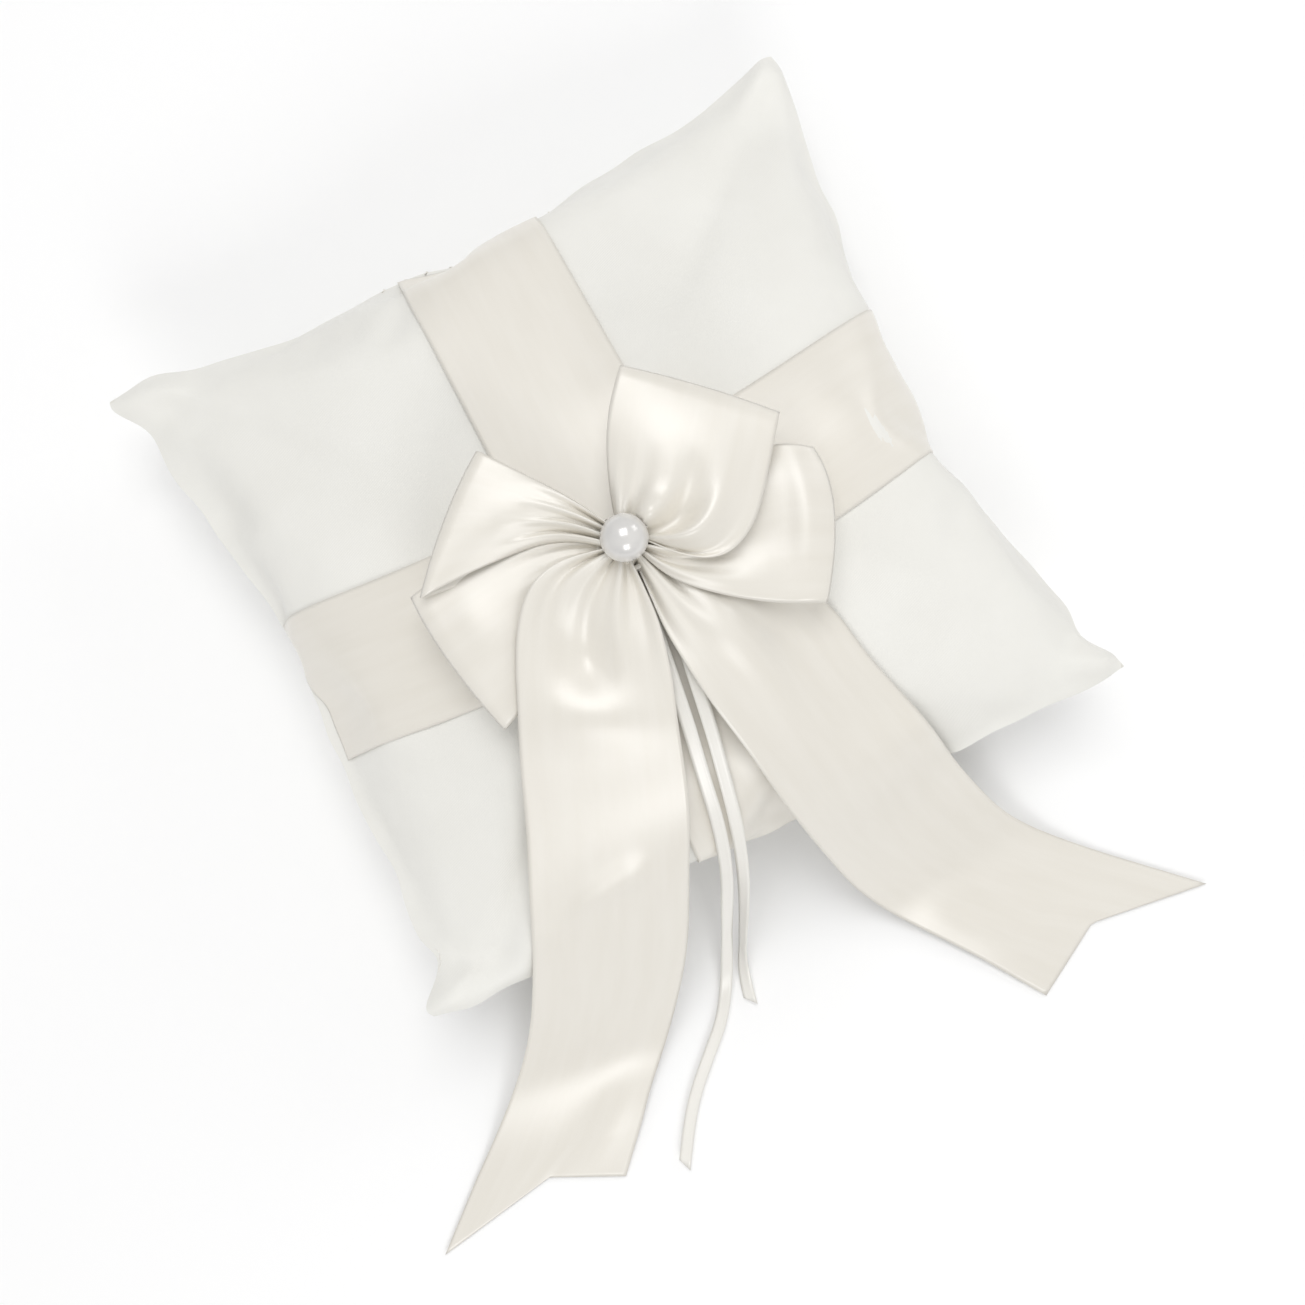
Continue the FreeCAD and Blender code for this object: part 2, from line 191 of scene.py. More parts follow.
def weave_bump(tree, shader, coordinates, scale, strength, distance):
    """Fine warp and weft: two sets of lines crossing, the weft fainter."""
    total = None
    for direction, share in (("X", 1.0), ("Y", 0.45)):
        wave = node(tree, "ShaderNodeTexWave", wave_type="BANDS", bands_direction=direction,
                    Scale=scale, Distortion=1.2, Detail=2.0)
        wave.inputs["Detail Scale"].default_value = 2.5
        tree.links.new(coordinates, wave.inputs["Vector"])
        part = node(tree, "ShaderNodeMath", operation="MULTIPLY")
        part.inputs[1].default_value = share
        tree.links.new(wave.outputs["Fac"], part.inputs[0])
        if total is None:
            total = part.outputs[0]
        else:
            add = node(tree, "ShaderNodeMath", operation="ADD")
            tree.links.new(total, add.inputs[0])
            tree.links.new(part.outputs[0], add.inputs[1])
            total = add.outputs[0]
    bump = node(tree, "ShaderNodeBump", Strength=strength, Distance=distance)
    tree.links.new(total, bump.inputs["Height"])
    tree.links.new(bump.outputs["Normal"], shader.inputs["Normal"])
    return bump


def cover_cloth():
    """Matte duchess satin: close weave, soft slubs and a faint bloom at grazing angles."""
    material, tree, shader = principled("cover_satin", (0.85, 0.85, 0.81), 0.55, Specular_IOR_Level=0.3,
                                        Sheen_Weight=0.18, Sheen_Roughness=0.4)
    place = node(tree, "ShaderNodeTexCoord")
    slub = node(tree, "ShaderNodeTexNoise", Scale=38.0, Detail=5.0, Roughness=0.6)
    tree.links.new(place.outputs["Object"], slub.inputs["Vector"])
    tint(tree, shader, slub.outputs["Fac"], (0.826, 0.816, 0.772), (0.851, 0.842, 0.800))
    weave_bump(tree, shader, place.outputs["Object"], 900.0, 0.12, 0.0002)
    return material


def ribbon_satin(name, width, base, dark, light):
    """Glossy satin ribbon: long floats across it, soft streaks along it, and a tight selvage each side."""
    material, tree, shader = principled(name, base, 0.28, Specular_IOR_Level=0.9, IOR=1.6,
                                        Sheen_Weight=0.1, Sheen_Roughness=0.35, Anisotropic=0.35)
    uv = node(tree, "ShaderNodeUVMap", uv_map="Cloth")
    split = node(tree, "ShaderNodeSeparateXYZ")
    tree.links.new(uv.outputs["UV"], split.inputs["Vector"])
    stretch = node(tree, "ShaderNodeMapping")
    stretch.inputs["Scale"].default_value = (1.0, 0.12, 1.0)
    tree.links.new(uv.outputs["UV"], stretch.inputs["Vector"])
    streak = node(tree, "ShaderNodeTexNoise", Scale=260.0, Detail=4.0, Roughness=0.55)
    tree.links.new(stretch.outputs["Vector"], streak.inputs["Vector"])
    tint(tree, shader, streak.outputs["Fac"], dark, light)
    rough = node(tree, "ShaderNodeMapRange")
    rough.inputs["To Min"].default_value = 0.28
    rough.inputs["To Max"].default_value = 0.38
    tree.links.new(streak.outputs["Fac"], rough.inputs["Value"])
    tree.links.new(rough.outputs["Result"], shader.inputs["Roughness"])
    bump = weave_bump(tree, shader, uv.outputs["UV"], 1400.0, 0.10, 0.0001)
    # the selvage stands up as a rounded cord along each edge
    side = node(tree, "ShaderNodeMath", operation="ABSOLUTE")
    tree.links.new(split.outputs["X"], side.inputs[0])
    edge = node(tree, "ShaderNodeMapRange", interpolation_type="SMOOTHSTEP")
    edge.inputs["From Min"].default_value = width / 2 - 0.0011
    edge.inputs["From Max"].default_value = width / 2 - 0.0006
    tree.links.new(side.outputs[0], edge.inputs["Value"])
    ridge = node(tree, "ShaderNodeBump", Strength=0.3, Distance=0.00015)
    tree.links.new(edge.outputs["Result"], ridge.inputs["Height"])
    tree.links.new(bump.outputs["Normal"], ridge.inputs["Normal"])
    tree.links.new(ridge.outputs["Normal"], shader.inputs["Normal"])
    return material


def thread_material():
    material, tree, shader = principled("sewing_thread", (0.86, 0.84, 0.79), 0.55, Sheen_Weight=0.2)
    place = node(tree, "ShaderNodeTexCoord")
    twist = node(tree, "ShaderNodeTexWave", wave_type="BANDS", bands_direction="DIAGONAL", Scale=1500.0)
    tree.links.new(place.outputs["Object"], twist.inputs["Vector"])
    tint(tree, shader, twist.outputs["Fac"], (0.78, 0.76, 0.70), (0.90, 0.88, 0.84), 0.2, 0.8)
    bump = node(tree, "ShaderNodeBump", Strength=0.4, Distance=0.0001)
    tree.links.new(twist.outputs["Fac"], bump.inputs["Height"])
    tree.links.new(bump.outputs["Normal"], shader.inputs["Normal"])
    return material


def pearl_material():
    """Nacre: a bright clear coat over a pale, faintly clouded body."""
    material, tree, shader = principled("pearl", (0.76, 0.75, 0.74), 0.22, Specular_IOR_Level=0.7,
                                        Coat_Weight=0.8, Coat_Roughness=0.08, Metallic=0.15)
    place = node(tree, "ShaderNodeTexCoord")
    cloud = node(tree, "ShaderNodeTexNoise", Scale=160.0, Detail=3.0)
    tree.links.new(place.outputs["Object"], cloud.inputs["Vector"])
    tint(tree, shader, cloud.outputs["Fac"], (0.65, 0.64, 0.63), (0.75, 0.735, 0.71))
    return material


def fibre_material():
    material, tree, shader = principled("filling_fibre", (0.9, 0.9, 0.89), 0.9, Sheen_Weight=0.3)
    place = node(tree, "ShaderNodeTexCoord")
    tuft = node(tree, "ShaderNodeTexNoise", Scale=220.0, Detail=8.0, Roughness=0.75)
    tree.links.new(place.outputs["Object"], tuft.inputs["Vector"])
    tint(tree, shader, tuft.outputs["Fac"], (0.82, 0.82, 0.80), (0.95, 0.95, 0.94))
    bump = node(tree, "ShaderNodeBump", Strength=0.7, Distance=0.001)
    tree.links.new(tuft.outputs["Fac"], bump.inputs["Height"])
    tree.links.new(bump.outputs["Normal"], shader.inputs["Normal"])
    return material


COVER = cover_cloth()
SATIN = ribbon_satin("ribbon_satin", RIBBON, (0.79, 0.756, 0.684), (0.782, 0.747, 0.674),
                     (0.804, 0.771, 0.702))
# The ties use the wide ribbon's satin with a lighter colour: painted light standing in for the light that
# the tails' shade keeps off them.
TIE_SATIN_PAINTED_LIGHTER = ribbon_satin("tie_satin", TIE_WIDTH, (0.86, 0.84, 0.79), (0.85, 0.83, 0.775), (0.87, 0.85, 0.80))
THREAD = thread_material()
NACRE = pearl_material()
FIBRE = fibre_material()


# ---------------------------------------------------------------- pillow

CUT = 0.206              # side of each flat square before it is sewn and filled
CELLS = 56               # cloth cells along each side
PUFF = 0.004             # starting gap between the two squares at the middle, each way
FRAMES = 34              # length of the cloth simulation
PRESSURE = 6.0           # blows the cover up
SLACK = 1.45             # filling is softer than air, so the sides slope more than a balloon's
BACK_DEPTH = 0.0365      # seam plane to the lowest point before the table flattens it


def flat_cover():
    """Two squares sewn along their edges. Returns the object and each layer's vertex of each place."""
    verts, faces, top, under = [], [], {}, {}
    for i in range(CELLS + 1):
        for j in range(CELLS + 1):
            u, v = 2 * i / CELLS - 1, 2 * j / CELLS - 1
            rise = PUFF * (1 - u * u) * (1 - v * v)
            top[i, j] = under[i, j] = len(verts)
            verts.append((u * CUT / 2, v * CUT / 2, SEAM_Z + rise))
            if 0 < i < CELLS and 0 < j < CELLS:
                under[i, j] = len(verts)
                verts.append((u * CUT / 2, v * CUT / 2, SEAM_Z - rise))
    for i in range(CELLS):
        for j in range(CELLS):
            faces.append((top[i, j], top[i + 1, j], top[i + 1, j + 1], top[i, j + 1]))
            faces.append((under[i, j], under[i, j + 1], under[i + 1, j + 1], under[i + 1, j]))
    return mesh_object("pillow_cover", verts, faces, COVER), top, under


def inflate(obj):
    cloth = obj.modifiers.new("cloth", "CLOTH")
    settings = cloth.settings
    settings.use_pressure = True
    settings.uniform_pressure_force = PRESSURE
    settings.quality = 6
    settings.mass = 0.2
    settings.tension_stiffness, settings.compression_stiffness, settings.shear_stiffness = 40, 20, 8
    settings.bending_stiffness = 0.4
    settings.tension_damping = settings.compression_damping = settings.shear_damping = 10
    settings.air_damping = 3
    settings.effector_weights.gravity = 0
    cloth.collision_settings.use_collision = False
    cloth.point_cache.frame_start, cloth.point_cache.frame_end = 1, FRAMES + 1
    for number in range(1, FRAMES + 1):
        scene.frame_set(number)
    settle(obj)
    scene.frame_set(1)


def fit_to_frame(co, top, flat):
    """Scales the blown-up cushion to the frame's size and lets the table flatten its underside."""
    low, high = co.min(0), co.max(0)
    for axis, sign, place, wanted in SIDE_MIDDLES:
        middle = abs(co[top[place], axis])
        edge_now = high[axis] if sign > 0 else -low[axis]
        edge_wanted = cover_high[axis] if sign > 0 else -cover_low[axis]
        here = sign * co[:, axis] > 0
        share = np.clip((np.abs(co[here, axis]) - middle) / (edge_now - middle), 0, 1)
        co[here, axis] *= wanted / middle * (1 - share) + edge_wanted / edge_now * share
    corner = ease(0.62, 0.95, np.abs(flat[:, 0] * flat[:, 1]))
    slack = 1 + (SLACK - 1) * (1 - corner)
    above = co[:, 2] > SEAM_Z
    full = (co[above, 2] - SEAM_Z) / (high[2] - SEAM_Z)
    co[above, 2] = SEAM_Z + full ** slack[above] * (cover_high.z - SEAM_Z)
    full = (SEAM_Z - co[~above, 2]) / (SEAM_Z - low[2])
    co[~above, 2] = SEAM_Z - full ** slack[~above] * BACK_DEPTH
    # the table presses the lowest few millimetres flat
    soft = 0.004
    lifted = soft * np.log1p(np.exp(np.clip(co[:, 2] / soft, -30, 30)))
    co[:, 2] = np.where(co[:, 2] < 4 * soft, lifted, co[:, 2])
    co[:, 2] -= co[:, 2].min() * (1 - ease(0.0, SEAM_Z, co[:, 2]))
    return push(co, flat, SIDE_PUSHES)


def lay_out_tips(co, top, under):
    """Flattens the cell at each corner's tip, where the simulation crumples the cloth."""
    for i, di in ((0, 1), (CELLS, -1)):
        for j, dj in ((0, 1), (CELLS, -1)):
            pairs = ((top[i + di, j], top[i + 2 * di, j]), (top[i, j + dj], top[i, j + 2 * dj]))
            co[top[i, j]] = sum(2 * co[a] - co[b] for a, b in pairs) / 2
            for layer in (top, under):
                around = (top[i + di, j], top[i, j + dj],
                          layer[i + 2 * di, j + dj], layer[i + di, j + 2 * dj])
                co[layer[i + di, j + dj]] = sum(co[k] for k in around) / 4
    return co


def push(co, flat, pushes):
    """Moves the cloth round each place on the flat squares; returns the points."""
    for (cx, cy), shift, wide in pushes:
        away = np.hypot(flat[:, 0] * CUT / 2 - cx, flat[:, 1] * CUT / 2 - cy)
        near = np.exp(-(away / wide) ** 2)
        co += near[:, None] * np.array(shift)
    return co


def corner_work(co, flat):
    """Puckers along the seam, creases that run in from the corners, and the four corners' own
    folds. flat is each vertex's place on the flat cloth, -1 to 1."""
    u, v = flat[:, 0], flat[:, 1]
    side = np.sign(co[:, 2] - SEAM_Z)
    to_x, to_y = (1 - np.abs(u)) * CUT / 2, (1 - np.abs(v)) * CUT / 2
    to_seam = np.minimum(to_x, to_y)
    along = np.where(to_x < to_y, v, u) * CUT / 2
    # puckers: short gathers that die out a little way in from the seam
    wave = (np.sin(along / 0.0021 + 1.3 * np.sin(along / 0.013)) + 0.6 * np.sin(along / 0.0037 + 2.0)
            + 0.5 * np.sin(along / 0.0079 + u * 3))
    fade = np.exp(-to_seam / 0.009) * ease(0.0, 0.0025, to_seam)
    swell = PUCKER * wave * fade
    gentle = 0.5 + 0.5 * np.sin(along / 0.019 + 3 * u + 2 * v)
    waver = WAVER * np.exp(-to_seam / 0.008) * (
        gentle * np.sin(along / 0.0043 + 2 * u) + 0.7 * np.sin(along / 0.0091 + 4 * v)
        + 0.4 * np.sin(along / 0.0026))
    co[:, 0] += np.where(to_x < to_y, np.sign(u) * waver, 0)
    co[:, 1] += np.where(to_x < to_y, 0, np.sign(v) * waver)
    # creases fanning out of each corner
    for sx in (-1, 1):
        for sy in (-1, 1):
            dx, dy = (1 - sx * u) * CUT / 2, (1 - sy * v) * CUT / 2
            reach = np.hypot(dx, dy)
            angle = np.arctan2(dy, dx)
            fan = np.cos(angle * CREASES + 0.8 * sx + 0.5 * sy)
            inside = np.clip(np.sin(2 * angle), 0, 1)
            out = (TIP_FULL * np.exp(-(reach / 0.014) ** 2)
                   - TIP_ROUND * np.exp(-(reach / 0.0065) ** 2))
            co[:, 0] += sx * out
            co[:, 1] += sy * out
            swell += 0.0013 * fan * inside * np.exp(-((reach - 0.019) / 0.014) ** 2)
    for (ax, ay), (bx, by), deep, wide in CORNER_CREASES:
        px, py = u * CUT / 2 - ax, v * CUT / 2 - ay
        ex, ey = bx - ax, by - ay
        share = np.clip((px * ex + py * ey) / (ex * ex + ey * ey), 0, 1)
        away = np.hypot(px - share * ex, py - share * ey)
        swell -= deep * (1 - 0.7 * share) * np.exp(-(away / wide) ** 2)
    half = np.abs(co[:, 2] - SEAM_Z)
    co[:, 2] = SEAM_Z + side * np.maximum(half + swell * ease(0.0, 0.003, half), 0.5 * half)
    return push(co, flat, CORNER_PUSHES)


def make_filling(cover, co, flat):
    """Fibre filling: the cover's plain shape, a little smaller, and short of the corners' tips."""
    mesh = cover.data.copy()
    centre = np.array([0, 0, SEAM_Z])
    inner = centre + (co - centre) * np.array([0.95, 0.95, 0.93])
    into_corner = ease(0.6, 1.0, np.abs(flat[:, 0] * flat[:, 1]))[:, None]
    inner = centre + (inner - centre) * (1 - CORNER_VOID * into_corner)
    mesh.vertices.foreach_set("co", inner.ravel())
    mesh.materials.clear()
    mesh.materials.append(FIBRE)
    obj = bpy.data.objects.new("filling", mesh)
    scene.collection.objects.link(obj)
    level = obj.modifiers.new("smooth", "SUBSURF")
    level.levels = level.render_levels = 1
    settle(obj)
    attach(obj, "pillow")
    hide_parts("fibre_filling")


# The middle of each side: axis, sign, place on the grid and wanted distance out
SIDE_MIDDLES = (
    (0, -1, (0, CELLS // 2), 0.0847),
    (0, 1, (CELLS, CELLS // 2), 0.0825),
    (1, -1, (CELLS // 2, 0), 0.0824),
    (1, 1, (CELLS // 2, CELLS), 0.0825),
)
# Places on the flat cloth, the way each is pushed, and how wide the push is
SIDE_PUSHES = (
    ((-0.103, -0.103), (0.0004, 0.0066, 0.0), 0.0220),         # the corner by the left tail is drawn in
    ((0.103, 0.103), (-0.0016, 0.0010, 0.0), 0.0350),
    ((-0.060, 0.103), (0.0, -0.0040, 0.0), 0.0320),
    ((-0.103, 0.055), (0.0018, 0.0, 0.0), 0.0300),
    ((-0.103, -0.060), (0.0022, 0.0, 0.0), 0.0250),
    ((0.103, 0.045), (-0.0018, 0.0, 0.0), 0.0300),
)
CORNER_PUSHES = (
    ((-0.103, -0.082), (0.0052, 0.0006, 0.0020), 0.0075),      # notch by the tails' left corner
    ((-0.100, -0.096), (-0.0006, 0.0, 0.0050), 0.0120),        # that corner turns up
    ((-0.103, 0.086), (0.0032, -0.0004, -0.0010), 0.0060),     # nick in the far left corner
    ((0.103, -0.101), (0.0018, 0.0026, 0.0040), 0.0150),      # right corner turns up a little
    ((0.103, -0.087), (-0.0036, 0.0004, 0.0010), 0.0065),      # notch beside it
    ((0.100, 0.103), (-0.0004, 0.0018, 0.0020), 0.0100),
)
# Creases on the flat cloth: from, to, depth and width
CORNER_CREASES = (
    ((-0.101, 0.084), (-0.080, 0.090), 0.0026, 0.0034),
    ((-0.097, 0.094), (-0.084, 0.078), 0.0014, 0.0030),
    ((-0.101, -0.083), (-0.078, -0.086), 0.0044, 0.0032),
    ((-0.094, -0.098), (-0.082, -0.080), 0.0018, 0.0032),
    ((0.101, -0.080), (0.078, -0.090), 0.0024, 0.0034),
    ((0.092, -0.101), (0.074, -0.084), 0.0018, 0.0034),
    ((0.098, 0.084), (0.082, 0.076), 0.0014, 0.0034),
    ((0.082, 0.101), (0.072, 0.080), 0.0012, 0.0036),
)
PUCKER = 0.0009           # height of the gathers along the seam
WAVER = 0.00055           # how far the seam's line wanders
TIP_FULL = 0.0026         # the corners are filled out this far and their tips blunted this much
TIP_ROUND = 0.0030
CREASES = 9.0
CORNER_VOID = 0.06        # how much shorter the filling is at the corners


def make_pillow():
    obj, top, under = flat_cover()
    flat = np.array([v.co for v in obj.data.vertices])[:, :2] / (CUT / 2)
    inflate(obj)
    co = np.array([v.co for v in obj.data.vertices])
    co = lay_out_tips(fit_to_frame(co, top, flat), top, under)
    make_filling(obj, co, flat)
    co = corner_work(co, flat)
    obj.data.vertices.foreach_set("co", co.ravel())
    for sign, index in ((-1, 0), (1, CELLS)):
        seam_sides["x", sign] = np.array([co[top[index, j]] for j in range(CELLS + 1)])
        seam_sides["y", sign] = np.array([co[top[i, index]] for i in range(CELLS + 1)])
    rim = {top[i, j] for i in range(CELLS + 1) for j in range(CELLS + 1)
           if i in (0, CELLS) or j in (0, CELLS)}
    crease = obj.data.attributes.new("crease_edge", "FLOAT", "EDGE")
    for edge in obj.data.edges:
        if edge.vertices[0] in rim and edge.vertices[1] in rim:
            crease.data[edge.index].value = 0.8
            edge.use_edge_sharp = True
    level = obj.modifiers.new("smooth", "SUBSURF")
    level.levels = level.render_levels = 1
    settle(obj)
    obj.data.polygons.foreach_set("use_smooth", [True] * len(obj.data.polygons))
    return obj


seam_sides = {}
pillow = make_pillow()
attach(pillow, "pillow")
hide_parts("cover_top", "cover_back")
pillow_tree = BVHTree.FromObject(pillow, bpy.context.evaluated_depsgraph_get())


WELL_ABOVE = 0.2


def cover_height(x, y):
    """Height of the pillow's top under (x, y), or -1 where the pillow isn't."""
    hit = pillow_tree.ray_cast(Vector((x, y, WELL_ABOVE)), Vector((0, 0, -1)))
    return hit[0].z if hit[0] is not None else -1.0


# ---------------------------------------------------------------- bands

BAND_CENTRE_X = 0.001
BAND_ROWS = 90
BAND_COLUMNS = 17
BAND_END = 0.012         # the ribbon goes into the seam at this angle above the seam plane
HALF_SIDE = 0.0825       # seam's distance from the middle of the pillow, halfway along a side
RISE = 0.037             # height of the dome over the seam plane


def over_dome(start, heading, angle, bowed):
    """Point of the cover seen from the seam plane inside the pillow, at an angle above heading.
    bowed gives the band's drift to one side for a share of the way to the seam."""
    way = Vector((*(heading * math.cos(angle)), math.sin(angle)))
    share = abs(math.cos(angle))
    for _ in range(3):
        origin = start + bowed(share)
        hit = pillow_tree.ray_cast(Vector((*origin, SEAM_Z)), way)[0]
        if hit is None:
            return None
        share = min(1.0, abs(float(np.dot(np.array(hit)[:2] - origin, heading))) / HALF_SIDE)
    return np.array(hit)


def make_band(name, along_x, lift):
    grid = np.zeros((BAND_ROWS + 1, BAND_COLUMNS, 3))
    for j, w in enumerate(np.linspace(-1, 1, BAND_COLUMNS)):
        aside = w * RIBBON / 2
        start = np.array([0.0, KNOT.y + aside]) if along_x else np.array([BAND_CENTRE_X + aside, 0.0])
        heading = np.array([1.0, 0.0]) if along_x else np.array([0.0, 1.0])
        for i, turn in enumerate(np.linspace(math.pi, 0, BAND_ROWS + 1)):
            angle = math.atan2(RISE * math.sin(turn), HALF_SIDE * math.cos(turn))
            angle = min(max(angle, BAND_END), math.pi - BAND_END)
            found = over_dome(start, heading, angle,
                              lambda t: np.array([0.0, -KNOT.y * t * t]) if along_x else np.zeros(2))
            grid[i, j] = found if found is not None else grid[i - 1, j]
    for _ in range(2):
        grid[1:-1] = 0.5 * grid[1:-1] + 0.25 * (grid[2:] + grid[:-2])
    facing = normals_of(grid)
    if facing[BAND_ROWS // 2, BAND_COLUMNS // 2, 2] < 0:
        facing = -facing
    grid += facing * lift
    obj = strip(name, grid, SATIN)
    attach(obj, "pillow")
    return obj


band_long = make_band("band_long_ribbon", True, 0.0004)
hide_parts("band_long")
band_cross = make_band("band_cross_ribbon", False, 0.0008)
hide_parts("band_cross")


# ---------------------------------------------------------------- ribbons of the bow

GRID_ACROSS = 33
ACROSS = np.linspace(0, 1, GRID_ACROSS)
TAIL_ROWS = 130
TAIL_LIFT = 0.0016       # least gap between a tail and the pillow
CUT_FROM = 0.9           # share of the tail's length where the rows start to follow the cut


def between(left, right, share):
    return left * (1 - share) + right * share


def seat(p, lift):
    """Keeps points at least lift above the pillow."""
    cover = np.array([cover_height(x, y) for x, y in p[:, :2]])
    over = cover > 0
    p[over, 2] = np.maximum(p[over, 2], cover[over] + lift)
    return p


def under_pearl(p):
    """Presses down what would stand up into the pearl."""
    r = np.hypot(p[:, 0] - PEARL.x, p[:, 1] - PEARL.y)
    within = r < PEARL_R
    top = PEARL.z - np.sqrt(PEARL_R ** 2 - r[within] ** 2) - 0.0003
    p[within, 2] = np.minimum(p[within, 2], top)
    return p


def pleats(share, near, count, phase, height):
    """Gathers that run out from the knot: near is 1 at the knot and 0 where they have opened out."""
    turn = 2 * math.pi * (count * share + phase)
    return height * near * (np.cos(turn) + 0.35 * np.cos(2.3 * turn + 1.7))


def tail_grid(stations, cut, apex_share, shape):
    """Tail from its root to its swallowtail end. Stations are the left and right edge in
    millimetres, with a height of None where it lies on the pillow. cut is the end's left point,
    notch and right point, and apex_share the notch's place across the ribbon."""
    rows = TAIL_ROWS
    edges = []
    for left, right in stations:
        row = []
        for x, y, z in (left, right):
            if z is None:
                z = cover_height(x * MM, y * MM) / MM + TAIL_LIFT / MM
            row += [x * MM, y * MM, z * MM]
        edges.append(row)
    lines = spline_through(edges, rows + 1)
    grid = np.zeros((rows + 1, GRID_ACROSS, 3))
    tip_left, apex, tip_right = (np.array([x, y, lines[-1, 2] / MM]) * MM for x, y in cut)
    ends = np.array([between(tip_left, apex, s / apex_share) if s < apex_share
                     else between(apex, tip_right, (s - apex_share) / (1 - apex_share)) for s in ACROSS])
    for i, line in enumerate(lines):
        t = i / rows
        for j, share in enumerate(ACROSS):
            grid[i, j] = between(line[:3], line[3:], share)
            grid[i, j, 2] += shape(t, share)
    start = int(round(CUT_FROM * rows))
    for i in range(start + 1, rows + 1):
        grid[i] = between(grid[start], ends, (i - start) / (rows - start))
    for i in range(rows + 1):
        grid[i] = seat(grid[i], TAIL_LIFT)
    for _ in range(3):
        inner = grid[1:-1, :, 2]
        grid[1:-1, :, 2] = 0.5 * inner + 0.25 * (grid[2:, :, 2] + grid[:-2, :, 2])
    for i in range(rows + 1):
        grid[i] = under_pearl(seat(grid[i], TAIL_LIFT * 0.8))
    grid[..., 2] = np.maximum(grid[..., 2], TABLE_GAP)
    return grid


def bump_at(t, share, at_t, at_share, wide_t, wide_share):
    return math.exp(-((t - at_t) / wide_t) ** 2 - ((share - at_share) / wide_share) ** 2)


def left_tail_shape(t, share):
    near = max(0.0, 1 - t / 0.22) ** 1.6
    rise = pleats(share, near, 2.9, 0.12, 0.0019)
    rise -= 0.0040 * bump_at(t, share, 0.155, 0.45, 0.042, 0.20)       # shaded pocket
    rise += 0.0022 * bump_at(t, share, 0.245, 0.45, 0.038, 0.40)       # lip below it
    rise += 0.0015 * bump_at(t, share, 0.12, 0.03, 0.07, 0.16)         # rolled outer edge
    rise += 0.0012 * math.sin(math.pi * share) * ease(0.25, 0.45, t) * (1 - ease(0.8, 0.95, t))
    rise += 0.0022 * bump_at(t, share, 0.87, 0.85, 0.07, 0.22)         # edge lifts off the table
    return rise


def right_tail_shape(t, share):
    near = max(0.0, 1 - t / 0.2) ** 1.5
    rise = pleats(share, near, 2.4, 0.45, 0.0020)
    rise += 0.0024 * bump_at(t, share, 0.17, 0.40, 0.10, 0.13)         # long ridge from the knot
    rise -= 0.0014 * bump_at(t, share, 0.17, 0.75, 0.08, 0.2)
    rise += 0.0012 * math.sin(math.pi * share) * ease(0.25, 0.45, t) * (1 - ease(0.8, 0.95, t))
    rise += 0.0020 * bump_at(t, share, 0.86, 0.15, 0.08, 0.2)
    return rise


TAIL_LEFT = [
    ((-3.8, -8.7, 79.0), (-0.8, -12.2, 78.6)),
    ((-11, -7, 79.4), (-0.8, -19, 77.6)),
    ((-17, -6.5, 79.0), (-1, -24, 76.8)),
    ((-23, -8, 78.0), (-1.5, -29, 76.2)),
    ((-28, -12, 76.6), (-2.6, -34, 75.8)),
    ((-33, -19, 75.0), (-4.2, -40, 74.8)),
    ((-39, -31, 71.8), (-7.2, -48.5, 72.6)),
    ((-45, -43.5, 66.8), (-10.8, -59, 68.6)),
    ((-50.5, -56, 60.8), (-15, -70, 62.6)),
    ((-56, -67, 54.2), (-20, -80, 53.0)),
    ((-62, -79, 45.0), (-25, -90, 40.0)),
    ((-69, -91, 32.0), (-31, -100.5, 26.5)),
    ((-77.5, -102.5, 17.0), (-39, -111, 14.0)),
    ((-87.5, -112.5, 6.5), (-48, -121, 5.0)),
    ((-100, -123, 1.6), (-57, -130, 1.6)),
    ((-112, -132.5, 0.8), (-64.5, -138.5, 0.8)),
    ((-123, -142, 0.8), (-72, -146, 0.8)),
]
TAIL_RIGHT = [
    ((0.4, -11.8, 77.6), (3.6, -10.6, 76.8)),
    ((-0.2, -21, 76.4), (13, -16.5, 75.4)),
    ((-0.8, -30, 75.4), (22, -22.5, 73.8)),
    ((-0.3, -39.5, 74.8), (30, -30.5, 71.8)),
    ((0.8, -49.5, 73.2), (36.3, -41, None)),
    ((3, -61, 68.0), (39.5, -54, None)),
    ((5.2, -73, 59.5), (43, -66, None)),
    ((8, -85, 46.0), (46.5, -78, 50.0)),
    ((11.8, -97, 28.5), (50.5, -89, 35.0)),
    ((16, -108, 14.0), (55, -99, 22.0)),
    ((22.5, -119, 5.0), (60.5, -108.5, 9.5)),
    ((30.5, -130, 1.5), (69, -119, 2.4)),
    ((39, -142, 0.8), (83, -133.5, 0.8)),
    ((48, -156, 0.8), (100, -150, 0.8)),
]


def make_tail(side, stations, cut, apex_share, shape):
    grid = tail_grid(stations, cut, apex_share, shape)
    obj = strip(f"tail_{side}_ribbon", grid, SATIN, smooth=0)
    settle(obj)
    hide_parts(f"tail_{side}_root", f"tail_{side}")
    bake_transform(obj)


make_tail("left", TAIL_LEFT, ((-123, -142), (-90, -137), (-72, -146)), 0.625, left_tail_shape)
make_tail("right", TAIL_RIGHT, ((48, -156), (68, -145), (100, -150)), 0.416667, right_tail_shape)


# ---------------------------------------------------------------- loops of the bow

FOLD = 0.0012            # half the height of the fold at a crease
LAYER_ROWS = 44
EDGE_POINTS = 60
LOOP_LIFT = 0.0016       # least gap between a loop and the pillow
NOSE = 0.0004            # how far the crease stands out past the two layers


